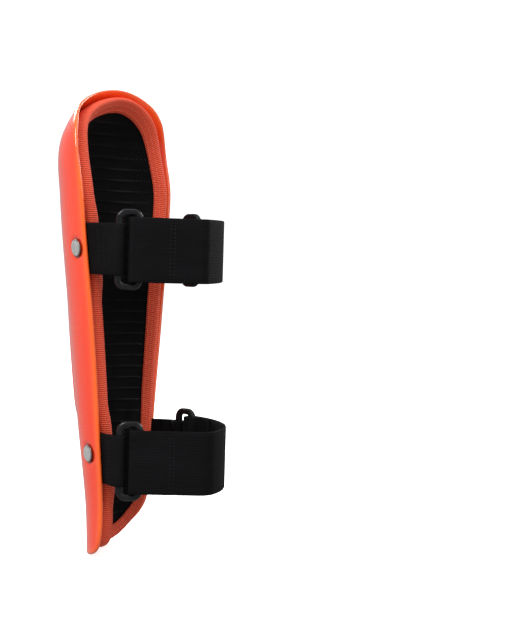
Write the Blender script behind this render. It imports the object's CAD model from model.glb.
# Ski racing shin guard for the left leg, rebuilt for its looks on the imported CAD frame.
# Shapes are worked out in mm and made in metres. +Z is up the leg, -Y is the way the shin faces,
# and +X is the outer side of the leg.
import math

import bpy
import numpy as np
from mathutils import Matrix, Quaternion, Vector


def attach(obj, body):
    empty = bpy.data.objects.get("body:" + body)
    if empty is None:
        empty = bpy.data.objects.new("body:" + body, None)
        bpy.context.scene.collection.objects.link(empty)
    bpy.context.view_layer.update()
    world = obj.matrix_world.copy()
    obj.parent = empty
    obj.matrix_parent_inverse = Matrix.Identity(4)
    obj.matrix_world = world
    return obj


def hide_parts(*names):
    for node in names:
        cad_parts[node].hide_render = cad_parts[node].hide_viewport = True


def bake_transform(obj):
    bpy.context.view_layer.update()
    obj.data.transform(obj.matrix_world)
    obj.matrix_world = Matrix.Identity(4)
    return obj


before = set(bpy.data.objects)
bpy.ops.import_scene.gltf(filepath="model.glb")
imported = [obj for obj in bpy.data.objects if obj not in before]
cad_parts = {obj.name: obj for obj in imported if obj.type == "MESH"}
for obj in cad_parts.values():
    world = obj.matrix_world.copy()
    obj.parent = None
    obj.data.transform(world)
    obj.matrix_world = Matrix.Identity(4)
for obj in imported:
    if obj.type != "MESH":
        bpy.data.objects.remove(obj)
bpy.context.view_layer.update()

# ---------------------------------------------------------------------------------------------
# Camera and studio. The camera stands behind the guard's outer side, level with the upper strap.
# The floor is a broad pale sweep. A soft key and a wide fill light the guard from that side, with
# lamps in front, on the far side and overhead.
# ---------------------------------------------------------------------------------------------
camera_azimuth = math.radians(118.45)
camera_distance = 1.002
camera_height = 0.229
aim_azimuth = math.radians(114.25)
aim_pitch = math.radians(-3.2)
camera_roll = math.radians(1.7)
focal_in_heights = 2.143  # focal length over the picture's height

camera_data = bpy.data.cameras.new("camera")
camera_data.sensor_fit = "VERTICAL"
camera_data.sensor_height = 36
camera_data.lens = 36 * focal_in_heights
camera_data.clip_end = 50
camera = bpy.data.objects.new("camera", camera_data)
camera.location = (
    math.sin(camera_azimuth) * camera_distance,
    0.02 - math.cos(camera_azimuth) * camera_distance,
    camera_height,
)
aim = Vector((
    -math.sin(aim_azimuth) * math.cos(aim_pitch),
    math.cos(aim_azimuth) * math.cos(aim_pitch),
    math.sin(aim_pitch),
))
level_view = aim.to_track_quat("-Z", "Y")
camera.rotation_euler = (level_view @ Quaternion((0, 0, 1), camera_roll)).to_euler()
bpy.context.scene.collection.objects.link(camera)
bpy.context.scene.camera = camera
bpy.context.scene.view_settings.view_transform = "Standard"


def soft_light(name, azimuth, elevation, distance, size, watts):
    """An area light aimed at the middle of the guard from a compass direction."""
    light = bpy.data.lights.new(name, "AREA")
    light.size = size
    light.energy = watts
    lamp = bpy.data.objects.new(name, light)
    a, e = math.radians(azimuth), math.radians(elevation)
    away = Vector((math.sin(a) * math.cos(e), -math.cos(a) * math.cos(e), math.sin(e)))
    lamp.location = Vector((0, 0.02, 0.17)) + away * distance
    lamp.rotation_euler = (-away).to_track_quat("-Z", "Y").to_euler()
    lamp.visible_camera = False
    bpy.context.scene.collection.objects.link(lamp)


soft_light("key", 78, 38, 1.6, 0.8, 26)
soft_light("fill", 165, 25, 1.8, 1.3, 11)
soft_light("front", -28, 32, 1.7, 0.6, 15)
soft_light("far_side", 250, 28, 1.8, 0.7, 12)
soft_light("overhead", 100, 85, 1.8, 1.4, 7)

world = bpy.data.worlds.new("studio")
world.use_nodes = True
world.node_tree.nodes["Background"].inputs["Color"].default_value = (0.94, 0.95, 0.96, 1)
world.node_tree.nodes["Background"].inputs["Strength"].default_value = 0.45
bpy.context.scene.world = world

floor_steps = 72
flat_reach, cove_radius, wall_top = 2.4, 1.2, 4.5
floor_profile = [(0, 0), (flat_reach, 0)]
floor_profile += [
    (flat_reach + cove_radius * math.sin(a), cove_radius - cove_radius * math.cos(a))
    for a in np.radians(np.arange(10, 91, 10))]
floor_profile += [(flat_reach + cove_radius, wall_top)]
floor_points = [
    (r * math.cos(a), r * math.sin(a), h - 0.0005)
    for r, h in floor_profile for a in np.arange(floor_steps) * 2 * math.pi / floor_steps]
floor_faces = [
    (i * floor_steps + k, i * floor_steps + (k + 1) % floor_steps,
     (i + 1) * floor_steps + (k + 1) % floor_steps, (i + 1) * floor_steps + k)
    for i in range(len(floor_profile) - 1) for k in range(floor_steps)]
floor_mesh = bpy.data.meshes.new("floor_sweep")
floor_mesh.from_pydata(floor_points, [], floor_faces)
floor_mesh.polygons.foreach_set("use_smooth", [True] * len(floor_faces))
floor = bpy.data.objects.new("floor_sweep", floor_mesh)
floor_finish = bpy.data.materials.new("floor_paper")
floor_finish.use_nodes = True
floor_shader = floor_finish.node_tree.nodes["Principled BSDF"]
floor_shader.inputs["Base Color"].default_value = (0.93, 0.93, 0.93, 1)
floor_shader.inputs["Roughness"].default_value = 0.9
floor_shader.inputs["Emission Color"].default_value = (1, 1, 1, 1)
floor_shader.inputs["Emission Strength"].default_value = 0.7
floor_mesh.materials.append(floor_finish)
bpy.context.scene.collection.objects.link(floor)
floor.visible_diffuse = False  # the sweep backs the guard without washing its colours out
floor.visible_glossy = False


# ---------------------------------------------------------------------------------------------
# Shell. One injection-moulded plate of glossy orange-red plastic, 2.8 mm thick, wrapped round the
# shin. It has a raised ridge beside the shin bone, a sunk rounded-square panel near the top, a
# dished seat under each rivet, and a rolled edge all the way round.
# ---------------------------------------------------------------------------------------------
SHELL_THICKNESS = 2.8
WRAP = math.radians(65)  # from the front to a back edge
GUARD = "guard"


def through(*pairs):
    """A smooth function of arrays through a few (position, value) pairs."""
    x = np.array([p[0] for p in pairs], float)
    y = np.array([p[1] for p in pairs], float)
    before = np.maximum(np.arange(len(x)) - 1, 0)
    after = np.minimum(np.arange(len(x)) + 1, len(x) - 1)
    slope = (y[after] - y[before]) / (x[after] - x[before])

    def value(at):
        at = np.asarray(at, float)
        i = np.clip(np.searchsorted(x, at) - 1, 0, len(x) - 2)
        span = x[i + 1] - x[i]
        t = np.clip((at - x[i]) / span, 0, 1)
        rise = (3 - 2 * t) * t * t
        bow = span * t * (1 - t) * ((1 - t) * slope[i] - t * slope[i + 1])
        return y[i] * (1 - rise) + y[i + 1] * rise + bow

    return value


half_width = through((0, 43), (75, 48.5), (172, 57.5), (255, 65.5), (300, 66.5), (340, 66))
front_depth = through((0, 23), (75, 32.3), (170, 41.9), (258, 47.4), (340, 46.6))
side_shift = through((0, 5.1), (75, 2.4), (172, -2.4), (270, -2.7), (340, -0.6))
back_shift = through((0, -2), (40, -0.3), (100, -2.7), (258, -8.1), (300, -7.4), (340, 18.3))
twist = through((0, 0.125), (75, 0.105), (258, 0), (340, 0))
top_edge = through((-1, 268), (-0.72, 307), (-0.42, 331), (-0.1, 339.8), (0.3, 326.4), (0.72, 301), (1, 262))
bottom_edge = through((-1, 46), (-0.78, 26), (-0.5, 12), (-0.2, 2), (0.15, 0), (0.5, 2), (0.8, 9), (1, 24))


def around_leg(u, z, depth):
    """Points in mm: u is -1 at the inner back edge and +1 at the outer one; depth is below the skin."""
    places = (np.asarray(value, float) for value in (u, z, depth))
    u, z, depth = np.broadcast_arrays(*places)
    across = half_width(z) / math.sin(WRAP)
    forward = front_depth(z) / (1 - math.cos(WRAP))
    sine, cosine = np.sin(u * WRAP), np.cos(u * WRAP)
    length = np.hypot(forward * sine, across * cosine)
    x = across * sine - depth * forward * sine / length
    y = -forward * (cosine - math.cos(WRAP)) + depth * across * cosine / length
    c, s = np.cos(twist(z)), np.sin(twist(z))
    return np.stack([x * c - y * s + side_shift(z), x * s + y * c + back_shift(z), z], axis=-1)


def half_girth(z):
    """Length in mm along the skin from the front to a back edge."""
    return WRAP * (half_width(z) / math.sin(WRAP) + front_depth(z) / (1 - math.cos(WRAP))) / 2


def in_outline(s, t, side, top, bottom):
    """(u, z) of a place in the outline, brought in by some mm: s runs -1 to 1 round the leg, t up it."""
    u = np.sin(np.asarray(s) * math.pi / 2)
    low = bottom_edge(s) + bottom
    z = low + (top_edge(s) - top - low) * t
    return u * (1 - side / half_girth(z)), z


def smoothstep(x, low, high):
    t = np.clip((x - low) / (high - low), 0, 1)
    return t * t * (3 - 2 * t)


def outline_loop(columns, rows, side, top, bottom):
    """(u, z) once round the outline, anticlockwise from outside, and the way inwards at each step."""
    s = np.concatenate([
        np.linspace(-1, 1, columns, endpoint=False), np.ones(rows),
        np.linspace(1, -1, columns, endpoint=False), -np.ones(rows)])
    t = np.concatenate([
        np.zeros(columns), np.linspace(0, 1, rows, endpoint=False),
        np.ones(columns), np.linspace(1, 0, rows, endpoint=False)])
    u, z = in_outline(s, t, side, top, bottom)
    flat = np.stack([u * half_girth(z), z], axis=-1)
    along = np.roll(flat, -1, axis=0) - np.roll(flat, 1, axis=0)
    along /= np.linalg.norm(along, axis=1)[:, None]
    return u, z, np.stack([-along[:, 1], along[:, 0]], axis=-1)


def mark(piece, name, values):
    """Gives each vertex of a piece a number for its finish to read."""
    attribute = piece.data.attributes.new(name, "FLOAT", "POINT")
    attribute.data.foreach_set("value", np.asarray(values, np.float32).ravel())


def make_piece(name, points, faces, uv=None):
    """A mesh object from points in mm."""
    mesh = bpy.data.meshes.new(name)
    mesh.from_pydata((np.asarray(points, float).reshape(-1, 3) * 0.001).tolist(), [], faces)
    if uv is not None:
        layer = mesh.uv_layers.new(name="cloth")
        corner = np.zeros(len(mesh.loops), np.int32)
        mesh.loops.foreach_get("vertex_index", corner)
        layer.data.foreach_set("uv", np.asarray(uv, np.float32).reshape(-1, 2)[corner].ravel())
    mesh.polygons.foreach_set("use_smooth", [True] * len(mesh.polygons))
    mesh.update()
    piece = bpy.data.objects.new(name, mesh)
    bpy.context.scene.collection.objects.link(piece)
    return piece


def grid_faces(columns, rows, start=0, flip=False, wrap_columns=False, wrap_rows=False):
    """Quads over a grid of points numbered column by column."""
    faces = []
    for i in range(columns if wrap_columns else columns - 1):
        for j in range(rows if wrap_rows else rows - 1):
            k, m = (i + 1) % columns, (j + 1) % rows
            quad = (i * rows + j, k * rows + j, k * rows + m, i * rows + m)
            faces.append(tuple(start + v for v in (quad[::-1] if flip else quad)))
    return faces


RIVETS = {
    "upper_outer_rivet": (0.87, 222),
    "upper_inner_rivet": (-0.83, 225),
    "lower_outer_rivet": (0.785, 76),
    "lower_inner_rivet": (-0.785, 77),
}
RIVET_DISH = 0.8  # depth of the dish round a rivet head
RIDGE_HEIGHT = 2.1
RIDGE_HALF_STEP = 3.8  # half the width over which the ridge rises
ridge_line = through((56, -29), (74, -14), (91, 8), (111, 19.5), (200, 20), (300, 22))
PANEL = {"u": -0.2, "z": 307, "half": 23, "corner": 13, "sink": 0.6}


def panel_mask(u, z):
    """1 inside the sunk panel near the top."""
    p = np.abs((u - PANEL["u"]) * half_girth(z))
    q = np.abs(z - PANEL["z"])
    inner = PANEL["half"] - PANEL["corner"]
    beyond = np.hypot(np.maximum(p - inner, 0), np.maximum(q - inner, 0)) - PANEL["corner"]
    return 1 - smoothstep(beyond, -1.4, 0.2)


def rivet_distance(u, z):
    """Distance in mm along the skin to the nearest rivet."""
    return np.minimum.reduce([
        np.hypot((u - rivet_u) * half_girth(z), z - rivet_z) for rivet_u, rivet_z in RIVETS.values()])


def skin_relief(u, z):
    """How far in mm the skin stands proud of the plain curve."""
    x = u * half_girth(z)
    slope = (ridge_line(z + 1) - ridge_line(z - 1)) / 2
    away = (x - ridge_line(z)) / np.hypot(1, slope)
    ridge = RIDGE_HEIGHT * (1 - smoothstep(away, -RIDGE_HALF_STEP, RIDGE_HALF_STEP))
    ridge *= np.exp(np.minimum(0, away) / 45)
    ridge *= smoothstep(z, 54, 100) * (1 - smoothstep(z, 292, 322)) * smoothstep(1 - np.abs(u), 0, 0.25)
    dishes = RIVET_DISH * (1 - smoothstep(rivet_distance(u, z), 6.0, 9.4))
    return ridge - dishes - PANEL["sink"] * panel_mask(u, z)


def bridge(first, second):
    """Quads between two closed loops of point numbers."""
    after = [(n + 1) % len(first) for n in range(len(first))]
    return [(first[n], second[n], second[m], first[m]) for n, m in enumerate(after)]


def layered_plate(name, columns, rows, inset, front, back, edge_steps):
    """A closed plate between two depths, with a round edge, and where its points lie on the flat skin."""
    half = inset["edge"]
    room = {k: inset[k] + half for k in ("side", "top", "bottom")}
    s, t = np.meshgrid(np.linspace(-1, 1, columns + 1), np.linspace(0, 1, rows + 1), indexing="ij")
    u, z = in_outline(s, t, **room)
    faces = grid_faces(columns + 1, rows + 1)
    size = (columns + 1) * (rows + 1)
    faces += grid_faces(columns + 1, rows + 1, start=size, flip=True)
    points = [around_leg(u, z, front(u, z)).reshape(-1, 3), around_leg(u, z, back(u, z)).reshape(-1, 3)]
    uv = [np.stack([u * half_girth(z), z], axis=-1).reshape(-1, 2) / 1000] * 2
    u, z, inward = outline_loop(columns, rows, **room)
    ring = [i * (rows + 1) for i in range(columns)]
    ring += [columns * (rows + 1) + j for j in range(rows)]
    ring += [(columns - i) * (rows + 1) + rows for i in range(columns)]
    ring += [rows - j for j in range(rows)]
    previous = ring
    count = len(ring)
    middle = (front(u, z) + back(u, z)) / 2
    reach = (back(u, z) - front(u, z)) / 2
    for k in range(1, edge_steps):
        a = math.pi * k / edge_steps
        out = half * math.sin(a)
        edge_z = z - inward[:, 1] * out
        edge_u = u - inward[:, 0] * out / half_girth(edge_z)
        points.append(around_leg(edge_u, edge_z, middle - reach * math.cos(a)))
        uv.append(np.stack([edge_u * half_girth(edge_z), edge_z], axis=-1) / 1000)
        start = 2 * size + (k - 1) * count
        current = list(range(start, start + count))
        faces += bridge(previous, current)
        previous = current
    faces += bridge(previous, [size + n for n in ring])
    flat = np.concatenate(uv)
    return make_piece(name, np.concatenate(points), faces, flat), flat * 1000


def edge_distance(u, z):
    """Rough distance in mm in from the shell's outline."""
    s = np.arcsin(np.clip(u, -1, 1)) * 2 / math.pi
    return np.minimum((1 - np.abs(u)) * half_girth(z), np.minimum(top_edge(s) - z, z - bottom_edge(s)))


def rolled_edge(u, z):
    """The edge thickens by a little over its last few mm."""
    return 0.45 * np.exp(-((np.maximum(edge_distance(u, z), 0) / 3.2) ** 2))


shell, flat = layered_plate(
    "moulded_shell", 170, 230, {"side": 0, "top": 0, "bottom": 0, "edge": 1.6},
    lambda u, z: -skin_relief(u, z) - rolled_edge(u, z) * 0.6,
    lambda u, z: SHELL_THICKNESS + 0 * z, 7)
shell_u, shell_z = flat[:, 0] / half_girth(flat[:, 1]), flat[:, 1]
mark(shell, "rim", np.exp(-((np.maximum(edge_distance(shell_u, shell_z), 0) / 4) ** 2)))
mark(shell, "panel", panel_mask(shell_u, shell_z))
mark(shell, "seat", np.exp(-(((rivet_distance(shell_u, shell_z) - 6) / 1.3) ** 2)))


def paint(code):
    """Linear colour from a hex code."""
    channels = [int(code[k:k + 2], 16) / 255 for k in (0, 2, 4)]
    linear = [c / 12.92 if c <= 0.04045 else ((c + 0.055) / 1.055) ** 2.4 for c in channels]
    return (*linear, 1)


class Wire:
    """One socket's value. Arithmetic on it adds Math nodes to its finish."""

    def __init__(self, finish, socket):
        self.finish = finish
        self.socket = socket

    def math(self, operation, *values):
        return self.finish.node("ShaderNodeMath", {"operation": operation}, values)

    def __add__(self, other):
        return self.math("ADD", self, other)

    def __radd__(self, other):
        return self.math("ADD", other, self)

    def __sub__(self, other):
        return self.math("SUBTRACT", self, other)

    def __rsub__(self, other):
        return self.math("SUBTRACT", other, self)

    def __mul__(self, other):
        return self.math("MULTIPLY", self, other)

    def __rmul__(self, other):
        return self.math("MULTIPLY", other, self)

    def __pow__(self, other):
        return self.math("POWER", self, other)

    def sine(self):
        return self.math("SINE", self)

    def cosine(self):
        return self.math("COSINE", self)

    def between(self, low, high):
        """0 below low, 1 above high, and a straight rise between."""
        values = {"Value": self, "From Min": low, "From Max": high}
        return self.finish.node("ShaderNodeMapRange", {"clamp": True}, values)


class Finish:
    """A material with one Principled shader. Uniform numbers are set on its own sockets."""

    def __init__(self, name, **uniform):
        self.material = bpy.data.materials.new(name)
        self.material.use_nodes = True
        self.tree = self.material.node_tree
        self.shader = self.tree.nodes["Principled BSDF"]
        for socket, value in uniform.items():
            self.shader.inputs[socket.replace("_", " ")].default_value = value

    def node(self, kind, settings=None, values=(), output=0):
        """Adds any node: its settings first, then the value or link of each socket."""
        made = self.tree.nodes.new(kind)
        for key, value in (settings or {}).items():
            setattr(made, key, value)
        pairs = values.items() if isinstance(values, dict) else enumerate(values)
        for key, value in pairs:
            if isinstance(value, Wire):
                self.tree.links.new(value.socket, made.inputs[key])
            else:
                made.inputs[key].default_value = value
        return Wire(self, made.outputs[output])

    def place(self, uv=False):
        """Where a point is on the piece itself, in metres."""
        return self.node("ShaderNodeTexCoord", output="UV" if uv else "Object")

    def mark(self, name):
        """A number that mark() gave each vertex."""
        return self.node("ShaderNodeAttribute", {"attribute_name": name}, output="Fac")

    def axis(self, place, name):
        return self.node("ShaderNodeSeparateXYZ", values=(place,), output=name)

    def noise(self, place, scale, detail):
        values = {"Vector": place, "Scale": scale, "Detail": detail, "Roughness": 0.55}
        return self.node("ShaderNodeTexNoise", values=values)

    def stretch(self, place, scale):
        return self.node("ShaderNodeVectorMath", {"operation": "MULTIPLY"}, (place, scale))

    def mix(self, factor, low, high):
        return self.node("ShaderNodeMix", {"data_type": "RGBA"}, {0: factor, 6: low, 7: high}, output=2)

    def feed(self, socket, wire):
        self.tree.links.new(wire.socket, self.shader.inputs[socket])

    def bump(self, height, distance, strength):
        """Feeds the Normal with a height in units of distance (metres)."""
        values = {"Strength": strength, "Distance": distance, "Height": height}
        self.feed("Normal", self.node("ShaderNodeBump", values=values))

    def put_on(self, piece):
        piece.data.materials.clear()
        piece.data.materials.append(self.material)


gloss = Finish("glossy_orange_shell", IOR=1.5, Coat_Weight=0.6, Coat_Roughness=0.07,
               Subsurface_Weight=0.06, Subsurface_Scale=0.002)
spot = gloss.place()
flow = gloss.noise(gloss.stretch(spot, (1, 1, 0.35)), 14, 2)
speck = gloss.noise(spot, 900, 2)
rim = gloss.mark("rim")
panel = gloss.mark("panel")
moulded = gloss.mix(flow.between(0.3, 0.72), paint("F2340F"), paint("FF4618"))
with_panel = gloss.mix(panel * 0.85, moulded, paint("E22A0C"))
with_rim = gloss.mix(rim * 0.8, with_panel, paint("FF6A1E"))
gloss.feed("Base Color", gloss.mix(gloss.mark("seat") * 0.75, with_rim, paint("5A1408")))
scuffs = gloss.noise(gloss.stretch(spot, (60, 60, 400)), 3, 4).between(0.62, 0.78)
gloss.feed("Roughness", 0.19 + speck * 0.05 + scuffs * 0.16)
orange_peel = gloss.noise(spot, 160, 2)
gloss.bump(orange_peel * 0.7 + speck * 0.3, 0.00012, 0.5)
gloss.put_on(shell)
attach(shell, GUARD)
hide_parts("shell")

# ---------------------------------------------------------------------------------------------
# Rivets. Four nickel-plated steel rivets hold the straps on. Each has a low domed head in its
# dished seat, a shank through shell and webbing, and a flat washer behind.
# ---------------------------------------------------------------------------------------------
GAP = 0.3  # air between pieces that touch
WEBBING_THICKNESS = 1.8
TAB_AIR = 0.4  # between the shell and the webbing under it
RIVET_HEAD = 6.2
RIVET_SHANK = 2.3
SHANK_TAIL = 1.4  # of the shank beyond the webbing
WASHER = 4.6
WASHER_AIR = 0.45
WASHER_THICKNESS = 0.8
LATHE_STEPS = 48
HEAD_UNDERSIDE = 0.05  # above the plain skin, once the head sits in its dish


def lathe(name, profile, place):
    """A turned piece standing on the skin. profile is (radius, height) pairs, from the axis or closed."""
    u, z = place
    point = around_leg(u, z, 0)
    across = around_leg(u + 0.01, z, 0) - around_leg(u - 0.01, z, 0)
    up = around_leg(u, z + 1, 0) - around_leg(u, z - 1, 0)
    out = np.cross(across, up)
    out /= np.linalg.norm(out)
    right = across / np.linalg.norm(across)
    top = np.cross(out, right)
    angle = np.arange(LATHE_STEPS) * 2 * math.pi / LATHE_STEPS
    radial = np.cos(angle)[:, None] * right + np.sin(angle)[:, None] * top
    points = [point + r * radial + h * out for r, h in profile]
    grid = np.stack(points, axis=1)
    closed = profile[0] == profile[-1]
    if closed:
        grid = grid[:, :-1]
    faces = grid_faces(LATHE_STEPS, grid.shape[1], wrap_columns=True, wrap_rows=closed)
    return make_piece(name, grid, faces)


def rivet_profile():
    """The turned outline, from the shank's end to the middle of the dome."""
    shank_end = -(SHELL_THICKNESS + GAP + WEBBING_THICKNESS + GAP + SHANK_TAIL)
    profile = [(0.01, shank_end), (RIVET_SHANK - 0.3, shank_end), (RIVET_SHANK, shank_end + 0.3)]
    profile += [(RIVET_SHANK, HEAD_UNDERSIDE), (RIVET_HEAD - 0.35, HEAD_UNDERSIDE)]
    for k in range(1, 8):
        a = math.pi * (k / 8 - 0.5)
        profile.append((RIVET_HEAD - 0.4 + 0.4 * math.cos(a), HEAD_UNDERSIDE + 0.4 + 0.4 * math.sin(a)))
    for k in range(1, 10):
        r = (RIVET_HEAD - 0.55) * (1 - k / 9) + 0.01
        profile.append((r, HEAD_UNDERSIDE + 0.8 + 0.8 * (1 - (r / RIVET_HEAD) ** 2.4)))
    return profile


nickel = Finish("nickel_plate", Metallic=1.0)
spot = nickel.place()
wipe = nickel.noise(nickel.stretch(spot, (900, 900, 9000)), 1, 3)
tarnish = nickel.noise(spot, 420, 3).between(0.35, 0.7)
bright = nickel.mix(tarnish, (0.8, 0.79, 0.77, 1), (0.95, 0.94, 0.92, 1))
nickel.feed("Base Color", nickel.mix(nickel.mark("rim") * 0.85, bright, (0.1, 0.09, 0.085, 1)))
nickel.feed("Roughness", 0.34 + wipe * 0.14 + tarnish * 0.06)
nickel.bump(wipe, 0.00002, 0.4)

for rivet_name, place in RIVETS.items():
    rivet = lathe(rivet_name.replace("rivet", "rivet_head"), rivet_profile(), place)
    radius = np.tile([r for r, _ in rivet_profile()], LATHE_STEPS)
    mark(rivet, "rim", smoothstep(radius, RIVET_HEAD - 1.3, RIVET_HEAD - 0.3))
    near = -(SHELL_THICKNESS + TAB_AIR + WEBBING_THICKNESS + WASHER_AIR)
    far = near - WASHER_THICKNESS
    bore = RIVET_SHANK + GAP
    washer = lathe(
        rivet_name.replace("rivet", "back_washer"),
        [(bore, near), (bore, far), (WASHER - 0.2, far), (WASHER, far + 0.2),
         (WASHER, near - 0.2), (WASHER - 0.2, near), (bore, near)], place)
    for piece, node in ((rivet, rivet_name), (washer, rivet_name.replace("rivet", "washer"))):
        nickel.put_on(piece)
        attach(piece, GUARD)
        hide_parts(node)

# ---------------------------------------------------------------------------------------------
# Liner. A sheet of black closed-cell foam, 7.6 mm thick, with thin raised bars moulded across the
# face that meets the shin. It steps in a little where a webbing tab and its washer lie behind it.
# ---------------------------------------------------------------------------------------------
LINER_THICKNESS = 7.6
LINER_INSET = {"side": 3.8, "top": 7.3, "bottom": 6.3}
TAPE_THICKNESS = 1.0
TAPE_GAP = 0.6
TAPE_AIR = 0.5  # between the shell and the tape
TAB_PUSH = 2.4  # how much further in the liner sits over a tab and its washer
STRAP_HEIGHTS = {"upper": 222, "lower": 74}
TAB_WIDTH = 36
GRIP_PITCH = 8.3
GRIP_WIDTH = 0.75
GRIP_HEIGHT = 0.7


def liner_depth(u, z):
    """How far in mm the liner's outer face lies below the skin."""
    near, clear = TAB_WIDTH / 2 + 1.5, TAB_WIDTH / 2 + 22
    near_tab = [1 - smoothstep(np.abs(z - h), near, clear) for h in STRAP_HEIGHTS.values()]
    step = smoothstep(np.abs(u), 0.5, 0.66) * np.maximum(*near_tab)
    return SHELL_THICKNESS + TAPE_AIR + TAPE_THICKNESS + TAPE_GAP + TAB_PUSH * step


def grip_bar(u, z):
    """1 on the crest of a raised bar and 0 between bars. Bars stop short of the binding."""
    off = (z / GRIP_PITCH + 0.5) % 1 - 0.5
    crest = np.exp(-((off * GRIP_PITCH / GRIP_WIDTH) ** 2))
    return crest * smoothstep(edge_distance(u, z), 17.5, 20)


def foam_face(u, z):
    """Depth of the face that meets the shin: flat foam, a soft sag between bars, and the bars."""
    sag = 0.25 * np.cos(z * 0.11 + 2.1 * u) * np.sin(3.7 * u + 0.02 * z)
    return liner_depth(u, z) + LINER_THICKNESS + GRIP_HEIGHT * grip_bar(u, z) + sag * smoothstep(
        edge_distance(u, z), 14, 26)


liner, _ = layered_plate("foam_liner", 44, 420, {**LINER_INSET, "edge": 2.0}, liner_depth, foam_face, 6)

foam = Finish("black_ribbed_foam", IOR=1.45, Specular_IOR_Level=0.1)
spot = foam.place()
cells = foam.noise(spot, 1400, 2)
wear = foam.noise(spot, 45, 3).between(0.35, 0.7)
height = foam.axis(spot, "Z")
crest = ((height * (2000 * math.pi / GRIP_PITCH)).cosine()).between(0.86, 0.97)
foam.feed("Base Color", foam.mix(wear, (0.0012, 0.0012, 0.0015, 1), (0.0035, 0.0035, 0.0042, 1)))
foam.feed("Roughness", 0.66 + cells * 0.12 - crest * 0.4)
foam.bump(cells, 0.00015, 0.45)
foam.put_on(liner)
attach(liner, GUARD)
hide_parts("liner_pad")

# ---------------------------------------------------------------------------------------------
# Edge binding. Coral-orange ribbed grosgrain tape, 1 mm thick, folded over the liner's edge all
# the way round and sewn through the foam with two rows of thread.
# ---------------------------------------------------------------------------------------------
BINDING_OUTSIDE = 2.2
BINDING_INSIDE = 9.4
NOSE = 2.0  # the foam edge under the tape is this round
NOSE_STEPS = 12
COVER_STEPS = 5  # over the flat of the tape inside the guard
EDGE_STEPS = {"columns": 110, "rows": 170}  # of the tape along the liner's ends and its sides
RIB_PITCH = 1.5


def tape_line():
    """The middle of the tape in section: (distance in from the foam's edge, depth below its face)."""
    lift = TAPE_GAP + TAPE_THICKNESS / 2
    line = [(BINDING_OUTSIDE, -lift)]
    for k in range(NOSE_STEPS + 1):
        a = math.pi * (k / NOSE_STEPS + 0.5)
        depth = LINER_THICKNESS / 2 * (1 - math.sin(a)) - lift * math.sin(a)
        line.append((NOSE + (NOSE + lift) * math.cos(a), depth))
    for k in range(1, COVER_STEPS + 1):
        t = k / COVER_STEPS
        line.append((NOSE + (BINDING_INSIDE - NOSE) * t, LINER_THICKNESS + lift - 0.25 * t ** 3))
    return np.array(line)


def tape_section(half):
    """A closed section round the tape's middle line, with round selvedges."""
    line = tape_line()
    along = np.gradient(line, axis=0)
    along /= np.linalg.norm(along, axis=1)[:, None]
    normal = np.stack([-along[:, 1], along[:, 0]], axis=-1)
    ends = [line[-1] + along[-1] * half, line[0] - along[0] * half]
    loop = np.concatenate([line + normal * half, ends[:1], (line - normal * half)[::-1], ends[1:]])
    run = np.concatenate([[0], np.cumsum(np.linalg.norm(np.diff(line, axis=0), axis=1))])
    reach = np.concatenate([run, [run[-1] + half], run[::-1], [-half]])
    return loop, reach


def round_the_edge(reach, depth):
    """Points once round the liner, at one place in the tape's section."""
    u, z, inward = outline_loop(**EDGE_STEPS, **LINER_INSET)
    low_z = z + inward[:, 1] * reach
    low_u = u + inward[:, 0] * reach / half_girth(low_z)
    return around_leg(low_u, low_z, liner_depth(low_u, low_z) + depth)


section, section_reach = tape_section(TAPE_THICKNESS / 2)
rings_of_tape = [round_the_edge(reach, depth) for reach, depth in section]
tape_points = np.stack(rings_of_tape, axis=1)
nose_ring = round_the_edge(-TAPE_GAP, LINER_THICKNESS / 2)
gone = np.concatenate([[0], np.cumsum(np.linalg.norm(np.diff(nose_ring, axis=0), axis=1))])
tape_uv = np.stack(np.broadcast_arrays(gone[:, None], section_reach[None, :]), axis=-1) / 1000
binding = make_piece(
    "grosgrain_binding", tape_points,
    grid_faces(len(gone), len(section), wrap_columns=True, wrap_rows=True, flip=True), tape_uv)

grosgrain = Finish("coral_grosgrain", Specular_IOR_Level=0.3)
cloth = grosgrain.place(uv=True)
run_along = grosgrain.axis(cloth, "X")
run_across = grosgrain.axis(cloth, "Y")
rib = (run_along * (2000 * math.pi / RIB_PITCH)).sine() * 0.5 + 0.5
thread_twist = (run_across * (2000 * math.pi / 0.62) + run_along * 900).sine() * 0.5 + 0.5
fuzz = grosgrain.noise(grosgrain.place(), 700, 3)
shade = (rib ** 1.5) * 0.75 + thread_twist * rib * 0.15 + fuzz * 0.2
grosgrain.feed("Base Color", grosgrain.mix(shade, paint("C7341C"), paint("FF6B4A")))
grosgrain.feed("Roughness", 0.62 + fuzz * 0.25)
grosgrain.bump(rib * 0.8 + thread_twist * rib * 0.2 + fuzz * 0.1, 0.00045, 0.8)
grosgrain.put_on(binding)
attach(binding, GUARD)
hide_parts("edge_binding")


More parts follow.
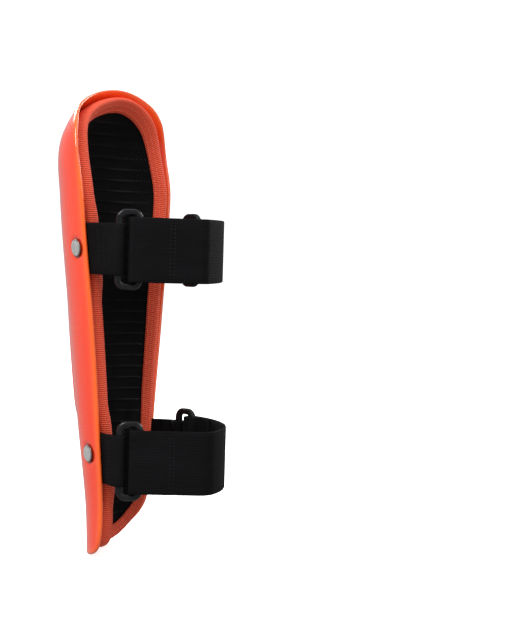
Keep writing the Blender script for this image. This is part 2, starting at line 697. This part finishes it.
def stitch_row(name, line, out, pitch, length, radius, closed=False):
    """Short thread stitches laid end to end on a line of points, each arched over the cloth."""
    line = np.asarray(line, float)
    if closed:
        line = np.concatenate([line, line[:1]])
        out = np.concatenate([out, out[:1]])
    gone = np.concatenate([[0], np.cumsum(np.linalg.norm(np.diff(line, axis=0), axis=1))])
    count = max(1, int(gone[-1] // pitch))
    step = gone[-1] / count
    points, faces = [], []
    for k in range(count):
        centre_at = (k + 0.5) * step
        ends = [np.array([np.interp(centre_at + d, gone, line[:, c]) for c in range(3)])
                for d in (-length / 2, length / 2)]
        normal = np.array([np.interp(centre_at, gone, out[:, c]) for c in range(3)])
        normal /= np.linalg.norm(normal)
        middle = (ends[0] + ends[1]) / 2
        half = (ends[1] - ends[0]) / 2
        side = np.cross(half, normal)
        side *= radius / np.linalg.norm(side)
        start = len(points)
        for i in range(5):
            t = -1 + 2 * i / 4
            size = math.sqrt(max(0.12, 1 - t * t))
            for j in range(6):
                a = j * math.pi / 3
                lift = normal * radius * (math.sin(a) * size + 0.5 * (1 - t * t) - 0.3)
                points.append(middle + half * t + side * math.cos(a) * size + lift)
        faces += grid_faces(5, 6, start=start, wrap_rows=True)
        faces += [tuple(start + j for j in range(6)), tuple(start + 24 + j for j in reversed(range(6)))]
    return make_piece(name, points, faces)


binding_thread = Finish("coral_thread", Roughness=0.5)
fuzz = binding_thread.noise(binding_thread.place(), 1600, 2)
binding_thread.feed("Base Color", binding_thread.mix(fuzz, paint("D8401F"), paint("FF8466")))
binding_thread.bump(fuzz, 0.0001, 0.5)
surface_depth = LINER_THICKNESS + TAPE_GAP + TAPE_THICKNESS
for row, reach in (("near_fold", 4.2), ("near_selvedge", 8.0)):
    line = round_the_edge(reach, surface_depth + 0.02)
    under = round_the_edge(reach, surface_depth - 1.0)
    thread = stitch_row("binding_stitches_" + row, line, line - under, 3.3, 2.7, 0.28, closed=True)
    binding_thread.put_on(thread)
    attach(thread, GUARD)

# ---------------------------------------------------------------------------------------------
# Tabs. Four short lengths of black polyester webbing, 36 mm wide and 1.8 mm thick. Each is riveted
# under the shell's back edge, looped round its ring's front bar and sewn back on itself.
# ---------------------------------------------------------------------------------------------
BAR_SPACING = 14
BAR_RADIUS = 2.5
TAB_LOOP = BAR_RADIUS + 0.4 + WEBBING_THICKNESS / 2
STRAPS = {
    "upper": {
        "outer_bar": (58.5, 20.2), "outer_heading": (-0.55, 0.835), "reach": 56, "turn_radius": 7,
        "inner_bar": (-60.5, 9.5), "inner_heading": (0.32, 0.947)},
    "lower": {
        "outer_bar": (50.5, 20), "outer_heading": (-0.45, 0.893), "reach": 55.5, "turn_radius": 12,
        "inner_bar": (-46, 16), "inner_heading": (0.3, 0.954)},
}


def unit(v):
    v = np.asarray(v, float)
    return v / np.linalg.norm(v)


def clockwise(v):
    return np.array([v[1], -v[0]])


def arc(centre, start, radius, turn, steps):
    """Points round a circle in plan, from one direction through an angle."""
    a = np.linspace(0, turn, steps + 1)[:, None]
    side = np.array([-start[1], start[0]])
    return centre + radius * (np.cos(a) * start + np.sin(a) * side)


def straight(a, b, steps):
    return np.asarray(a) + np.linspace(0, 1, steps + 1)[:, None] * (np.asarray(b) - np.asarray(a))


def bezier(a, b, c, d, steps):
    t = np.linspace(0, 1, steps + 1)[:, None]
    return (1 - t) ** 3 * a + 3 * t * (1 - t) ** 2 * b + 3 * t * t * (1 - t) * c + t ** 3 * d


def plan_sides(path):
    """The unit direction to the right of a path in plan, at each of its points."""
    along = np.gradient(path, axis=0)
    along /= np.linalg.norm(along, axis=1)[:, None]
    return np.stack([along[:, 1], -along[:, 0]], axis=-1)


def strip(name, paths, heights, thickness, edge_steps=4):
    """A strip standing on edge: one path in plan for each height, an even thickness, and round edges."""
    half = thickness / 2
    paths = np.stack(paths, axis=1)
    sides = np.stack([plan_sides(paths[:, j]) for j in range(len(heights))], axis=1)
    rows = []
    run = np.concatenate([[0], np.cumsum(np.linalg.norm(np.diff(paths[:, 0], axis=0), axis=1))])

    def row(j, offset, lift):
        z = np.full((len(paths), 1), heights[j] + lift)
        rows.append(np.concatenate([paths[:, j] + sides[:, j] * offset, z], axis=1))

    last = len(heights) - 1
    for j in range(last + 1):
        row(j, half, 0)
    for k in range(1, edge_steps):
        a = math.pi * k / edge_steps
        row(last, half * math.cos(a), half * math.sin(a))
    for j in range(last, -1, -1):
        row(j, -half, 0)
    for k in range(1, edge_steps):
        a = math.pi * k / edge_steps
        row(0, -half * math.cos(a), -half * math.sin(a))
    grid = np.stack(rows, axis=1)
    uv = np.stack(np.broadcast_arrays(run[:, None], grid[:, :, 2]), axis=-1) / 1000
    count = grid.shape[1]
    faces = grid_faces(len(run), count, wrap_rows=True)
    faces.append(tuple(range(count)))
    faces.append(tuple(reversed(range((len(run) - 1) * count, len(run) * count))))
    return make_piece(name, grid, faces, uv)


def tab_path(z, bar, mirror):
    """Plan path of a tab at one height, from under the shell round the ring's bar to the sewn lap."""
    depth = SHELL_THICKNESS + TAB_AIR + WEBBING_THICKNESS / 2
    covered = around_leg(mirror * np.linspace(0.7, 1.0, 16), z, depth)[:, :2]
    along = unit(np.array(bar) - covered[-1])
    out = clockwise(along) * mirror
    start = bar + out * TAB_LOOP
    heading = unit(covered[-1] - covered[-2])
    free = bezier(covered[-1], covered[-1] + heading * 4, start - along * 7, start, 22)[1:-1]
    loop = arc(np.array(bar), out, TAB_LOOP, mirror * math.pi, 26)
    back = free[8:15][::-1] - out * (WEBBING_THICKNESS + 0.05)
    turn_in = bezier(loop[-1], loop[-1] - along * 4.5, back[0] + along * 3, back[0], 10)[1:-1]
    return np.concatenate([covered, free, loop, turn_in, back])


webbing = Finish("black_webbing", Specular_IOR_Level=0.07)
cloth = webbing.place(uv=True)
warp = (webbing.axis(cloth, "Y") * (2000 * math.pi / 1.3)).sine()
weft = (webbing.axis(cloth, "X") * (2000 * math.pi / 1.05)).sine()
weave = warp * weft * 0.5 + 0.5
fuzz = webbing.noise(webbing.place(), 900, 3)
fade = webbing.noise(webbing.place(), 60, 3).between(0.35, 0.7)
tone = weave * 0.6 + fade * 0.4
webbing.feed("Base Color", webbing.mix(tone, (0.0018, 0.0018, 0.0022, 1), (0.0065, 0.0063, 0.007, 1)))
webbing.feed("Roughness", 0.6 + fuzz * 0.3)
webbing.bump(weave * 0.8 + fuzz * 0.2, 0.00035, 0.7)

thread_black = Finish("black_thread", Roughness=0.45, Specular_IOR_Level=0.2)
fuzz = thread_black.noise(thread_black.place(), 1800, 2)
thread_black.feed("Base Color", thread_black.mix(fuzz, (0.003, 0.003, 0.0035, 1), (0.009, 0.009, 0.01, 1)))
thread_black.bump(fuzz, 0.0001, 0.5)


def sew(name, points, outward, body):
    """A line of black stitches riding on one body."""
    thread = stitch_row(name, points, np.broadcast_to(outward, np.shape(points)), 2.6, 2.1, 0.24)
    thread_black.put_on(thread)
    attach(thread, body)


for level, height in STRAP_HEIGHTS.items():
    for side, mirror in (("outer", 1), ("inner", -1)):
        bar = np.array(STRAPS[level][side + "_bar"], float)
        half = (TAB_WIDTH - WEBBING_THICKNESS) / 2
        heights = np.linspace(height - half, height + half, 12)
        paths = [tab_path(z, bar, mirror) for z in heights]
        tab = strip(f"{level}_{side}_webbing_tab", paths, heights, WEBBING_THICKNESS)
        webbing.put_on(tab)
        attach(tab, GUARD)
        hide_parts(f"{level}_{side}_tab")
        for label, station in (("by_ring", 29), ("by_shell", 25)):
            line, outward = [], []
            for z, path in zip(heights[1:-1], paths[1:-1]):
                normal = plan_sides(path)[station] * mirror
                line.append([*(path[station] + normal * (WEBBING_THICKNESS / 2 + 0.05)), z])
                outward.append([*normal, 0])
            sew(f"{level}_{side}_tab_stitches_{label}", line, np.array(outward), GUARD)

# ---------------------------------------------------------------------------------------------
# Rings. Each tab and band meet at a moulded rectangular ring with round corners. The outer rings
# are glossy smoke-grey plastic. The inner ones are matt black and heavier.
# ---------------------------------------------------------------------------------------------
STRAP_WIDTH = 45
WINDOW_HEIGHT = STRAP_WIDTH + 2
RAIL_HEIGHT = 4.6
RING_THICKNESS = 4
RING_SECTION_STEPS = 18


def rounded_loop(half_wide, half_tall, corner, straight_steps, corner_steps):
    """Points once round a rounded rectangle, with the same count whatever its size."""
    points = []
    centres = [(1, -1, -90), (1, 1, 0), (-1, 1, 90), (-1, -1, 180)]
    for sx, sy, start in centres:
        cx, cy = sx * (half_wide - corner), sy * (half_tall - corner)
        for k in range(corner_steps + 1):
            a = math.radians(start + 90 * k / corner_steps)
            points.append((cx + corner * math.cos(a), cy + corner * math.sin(a)))
    filled = []
    for i, (p, q) in enumerate(zip(points, points[1:] + points[:1])):
        filled.append(p)
        if (i + 1) % (corner_steps + 1) == 0:
            filled += [tuple(np.array(p) + (np.array(q) - np.array(p)) * k / straight_steps)
                       for k in range(1, straight_steps)]
    return np.array(filled)


def moulded_ring(name, height, bar, along, fullness):
    """A ring with soft edges. fullness is 1 for a round section and lower for a squarer one."""
    outer = rounded_loop(BAR_SPACING / 2 + BAR_RADIUS, WINDOW_HEIGHT / 2 + RAIL_HEIGHT, 7, 10, 8)
    inner = rounded_loop(BAR_SPACING / 2 - BAR_RADIUS, WINDOW_HEIGHT / 2, 2.4, 10, 8)
    middle = np.array([*(np.asarray(bar) + np.asarray(along) * BAR_SPACING / 2), height])
    right = np.array([along[0], along[1], 0])
    facing = np.array([along[1], -along[0], 0])
    rings = []
    for k in range(RING_SECTION_STEPS):
        a = 2 * math.pi * k / RING_SECTION_STEPS
        c = math.copysign(abs(math.cos(a)) ** fullness, math.cos(a))
        s = math.copysign(abs(math.sin(a)) ** fullness, math.sin(a))
        flat = (outer + inner) / 2 + (outer - inner) / 2 * c
        lift = facing * RING_THICKNESS / 2 * s
        rings.append(middle + flat[:, :1] * right + flat[:, 1:] * np.array([0, 0, 1]) + lift)
    grid = np.stack(rings, axis=1)
    faces = grid_faces(len(outer), RING_SECTION_STEPS, wrap_columns=True, wrap_rows=True, flip=True)
    return make_piece(name, grid, faces)


HOOK_THICKNESS = 2.2
BAND_OFFSET = RING_THICKNESS / 2 + GAP + HOOK_THICKNESS + GAP + WEBBING_THICKNESS / 2
BAND_LOOP = 5.6
RUN_STRAIGHTNESS = 26  # how far the band keeps the ring's heading before it curves round the calf


def strap_plan(level):
    """The plan of one strap: bars, headings, and the turn behind the calf."""
    size = STRAPS[level]
    outer, inner = np.array(size["outer_bar"], float), np.array(size["inner_bar"], float)
    along, inner_along = unit(size["outer_heading"]), unit(size["inner_heading"])
    out, inner_out = clockwise(along), -clockwise(inner_along)
    bend = outer + along * size["reach"] + out * (BAND_OFFSET - size["turn_radius"])
    # The inner run leaves the turn on a tangent, towards a place straight behind the inner ring.
    behind_ring = inner + inner_along * (BAR_SPACING + RUN_STRAIGHTNESS) + inner_out * BAND_LOOP
    to_bend = bend - behind_ring
    lean = math.asin(size["turn_radius"] / np.linalg.norm(to_bend))
    c, s = math.cos(lean), math.sin(lean)
    turn_along = unit((to_bend[0] * c + to_bend[1] * s, to_bend[1] * c - to_bend[0] * s))
    return {"outer": outer, "inner": inner, "along": along, "out": out, "bend": bend,
            "turn_radius": size["turn_radius"], "turn_along": turn_along,
            "turn_out": -clockwise(turn_along), "inner_along": inner_along, "inner_out": inner_out}


smoke = Finish("gloss_smoke_plastic", IOR=1.46, Specular_IOR_Level=0.3)
spot = smoke.place()
haze = smoke.noise(spot, 120, 3).between(0.35, 0.7)
smoke.feed("Base Color", smoke.mix(haze, (0.005, 0.0052, 0.006, 1), (0.011, 0.0112, 0.0125, 1)))
smoke.feed("Roughness", 0.14 + haze * 0.1)
smoke.bump(smoke.noise(spot, 500, 2), 0.00005, 0.35)

matt_black = Finish("matt_black_plastic", IOR=1.46, Specular_IOR_Level=0.3)
spot = matt_black.place()
grain = matt_black.noise(spot, 1500, 2)
rubbed = matt_black.noise(spot, 90, 4).between(0.45, 0.75)
matt_black.feed("Base Color", matt_black.mix(rubbed, (0.003, 0.003, 0.0035, 1), (0.008, 0.008, 0.009, 1)))
matt_black.feed("Roughness", 0.52 - rubbed * 0.14)
matt_black.bump(grain, 0.00008, 0.5)

for level, height in STRAP_HEIGHTS.items():
    plan = strap_plan(level)
    outer_ring = moulded_ring(
        f"{level}_outer_moulded_ring", height, plan["outer"], plan["along"], fullness=0.75)
    inner_ring = moulded_ring(
        f"{level}_inner_moulded_ring", height, plan["inner"], plan["inner_along"], fullness=0.55)
    for piece, side, finish, slot in (
            (outer_ring, "outer", smoke, "smoke_plastic"),
            (inner_ring, "inner", matt_black, "matte_plastic")):
        finish.put_on(piece)
        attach(piece, f"{level}_{side}_ring_body")
        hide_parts(f"{level}_{side}_ring")

# ---------------------------------------------------------------------------------------------
# Hook plates. A stiff angle of smoke plastic inside each band's front end. Its lip drops into the
# outer ring's window and catches the rear bar from in front, so the strap unhooks there.
# ---------------------------------------------------------------------------------------------
LIP_AIR = 0.6  # between the lip and the rear bar
LIP_FRONT = BAR_SPACING - BAR_RADIUS - LIP_AIR - HOOK_THICKNESS
LIP_DEPTH = 3.2
HOOK_LENGTH = 24
HOOK_CORNER = 0.6

for level, height in STRAP_HEIGHTS.items():
    plan = strap_plan(level)
    middle_out = RING_THICKNESS / 2 + GAP + HOOK_THICKNESS / 2
    middle_along = LIP_FRONT + HOOK_THICKNESS / 2
    turn_in = plan["outer"] + plan["along"] * (middle_along + HOOK_CORNER)
    corner = turn_in + plan["out"] * (middle_out - HOOK_CORNER)
    tip = plan["outer"] + plan["along"] * middle_along - plan["out"] * LIP_DEPTH
    far = plan["outer"] + plan["along"] * (LIP_FRONT + HOOK_LENGTH) + plan["out"] * middle_out
    bend_points = arc(corner, -plan["along"], HOOK_CORNER, math.pi / 2, 6)
    path = np.concatenate([
        straight(tip, bend_points[0], 5)[:-1], bend_points, straight(bend_points[-1], far, 12)[1:]])
    half = (STRAP_WIDTH - 4 - HOOK_THICKNESS) / 2
    heights = np.linspace(height - half, height + half, 6)
    hook = strip(f"{level}_moulded_hook_plate", [path] * 6, heights, HOOK_THICKNESS, edge_steps=6)
    smoke.put_on(hook)
    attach(hook, f"{level}_band_body")
    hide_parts(f"{level}_hook_plate")

# ---------------------------------------------------------------------------------------------
# Bands. Two black woven elastic bands, 45 mm wide. Each is folded over its hook plate, runs back
# to a turn behind the calf, and loops round the inner ring's rear bar, where it is sewn.
# ---------------------------------------------------------------------------------------------
BAND_FOLD = 2.2  # radius of the fold over the hook's lip

elastic = Finish("black_elastic", Specular_IOR_Level=0.07)
cloth = elastic.place(uv=True)
cord_line = (elastic.axis(cloth, "Y") * (2000 * math.pi / 1.15)).sine() * 0.5 + 0.5
pick = (elastic.axis(cloth, "X") * (2000 * math.pi / 0.8)).sine() * 0.5 + 0.5
fuzz = elastic.noise(elastic.place(), 1000, 3)
fade = elastic.noise(elastic.stretch(elastic.place(), (1, 1, 3)), 30, 3).between(0.35, 0.7)
tone = cord_line * 0.45 + pick * 0.2 + fade * 0.35
elastic.feed("Base Color", elastic.mix(tone, (0.0018, 0.0018, 0.002, 1), (0.0065, 0.0065, 0.0075, 1)))
elastic.feed("Roughness", 0.64 + fuzz * 0.28)
elastic.bump(cord_line * 0.6 + pick * cord_line * 0.3 + fuzz * 0.2, 0.0003, 0.7)


def calf_run(plan):
    """The part of a band from its turn round the inner side of the calf to the inner ring."""
    bar = plan["inner"] + plan["inner_along"] * BAR_SPACING
    start = plan["bend"] + plan["turn_out"] * plan["turn_radius"]
    end = bar + plan["inner_out"] * BAND_LOOP
    reach = np.linalg.norm(end - start)
    leaving = start - plan["turn_along"] * 0.45 * reach
    arriving = end + plan["inner_along"] * 0.25 * reach
    return bezier(start, leaving, arriving, end, 60)


def band_path(plan, run):
    """Plan path of a band, from the fold at the hook to the end of the lap at the inner ring."""
    front = LIP_FRONT - GAP - WEBBING_THICKNESS / 2

    def at(a, b):
        """A place a mm behind the outer ring's front bar and b mm outside it."""
        return plan["outer"] + plan["along"] * a + plan["out"] * b

    corner = at(front + BAND_FOLD, BAND_OFFSET - BAND_FOLD)
    fold_arc = arc(corner, -plan["along"], BAND_FOLD, math.pi / 2, 8)
    turn = math.acos(float(np.dot(plan["out"], plan["turn_out"])))
    bend_arc = arc(plan["bend"], plan["out"], plan["turn_radius"], turn, 24)
    bar = plan["inner"] + plan["inner_along"] * BAR_SPACING
    loop = arc(bar, plan["inner_out"], BAND_LOOP, math.pi, 26)
    lap = (run - plan_sides(run) * (WEBBING_THICKNESS + 0.1))[-16:-9][::-1]
    way_in = unit(lap[1] - lap[0])
    turn_in = bezier(loop[-1], loop[-1] + plan["inner_along"] * 7, lap[0] - way_in * 7, lap[0], 14)
    return np.concatenate([
        straight(at(front, -LIP_DEPTH / 2 - WEBBING_THICKNESS / 2), fold_arc[0], 5)[:-1], fold_arc,
        straight(fold_arc[-1], bend_arc[0], 40)[1:-1], bend_arc, run[1:-1], loop, turn_in[1:], lap[1:]])


for level, height in STRAP_HEIGHTS.items():
    plan = strap_plan(level)
    run = calf_run(plan)
    path = band_path(plan, run)
    half = (STRAP_WIDTH - WEBBING_THICKNESS) / 2
    heights = np.linspace(height - half, height + half, 14)
    band = strip(f"{level}_elastic_band", [path] * len(heights), heights, WEBBING_THICKNESS)
    elastic.put_on(band)
    start = [*(plan["bend"] + plan["turn_out"] * plan["turn_radius"]) / 1000, height / 1000]
    end = [*(plan["bend"] + plan["out"] * plan["turn_radius"]) / 1000, height / 1000]
    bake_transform(band)
    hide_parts(f"{level}_band_outer_run", f"{level}_band_turn", f"{level}_band_inner_run")
    lift = WEBBING_THICKNESS / 2 + 0.05
    for label, a in (("front", LIP_FRONT + 26.5), ("rear", LIP_FRONT + 29.5)):
        spot_plan = plan["outer"] + plan["along"] * a + plan["out"] * (BAND_OFFSET + lift)
        line = [[*spot_plan, z] for z in heights[1:-1]]
        sew(f"{level}_hook_stitches_{label}", line, [*plan["out"], 0], f"{level}_band_body")
    for label, station in (("front", -15), ("rear", -11)):
        outward = plan_sides(run)[station]
        line = [[*(run[station] + outward * lift), z] for z in heights[1:-1]]
        sew(f"{level}_lap_stitches_{label}", line, [*outward, 0], GUARD)
